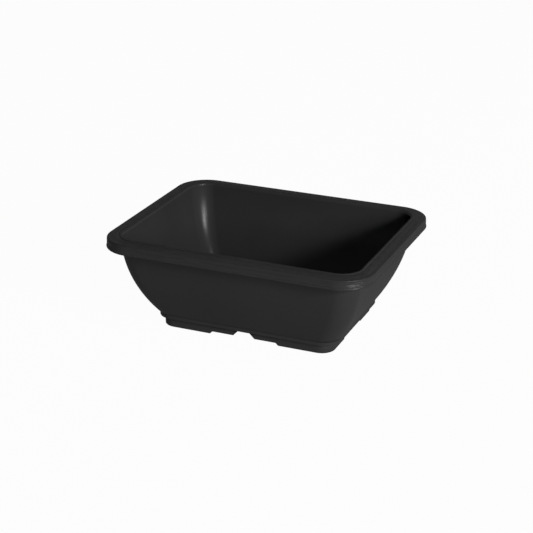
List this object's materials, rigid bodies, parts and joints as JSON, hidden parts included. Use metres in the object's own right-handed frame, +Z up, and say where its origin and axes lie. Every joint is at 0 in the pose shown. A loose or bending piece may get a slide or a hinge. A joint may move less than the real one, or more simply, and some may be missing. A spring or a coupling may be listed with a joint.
{
  "type": "rectangular flower pot",
  "caption": "Low rectangular plastic flower pot with a wide turned-down rim, bowl-shaped walls, a drained floor and a notched foot rail.",
  "frame": {"origin": "on the ground, under the middle of the pot", "axes": "+X along the length, +Y along the width, +Z up towards the opening"},
  "size_m": [0.254, 0.202, 0.0912],
  "materials": {
    "black_plastic": "satin, as moulded"
  },
  "bodies": {
    "root": {"rim_flange": "black_plastic", "rim_skirt": "black_plastic", "wall_back": "black_plastic", "wall_left": "black_plastic", "wall_front": "black_plastic", "wall_right": "black_plastic", "floor_panel": "black_plastic", "foot_rail_left": "black_plastic", "foot_rail_right": "black_plastic"}
  },
  "joints": []
}
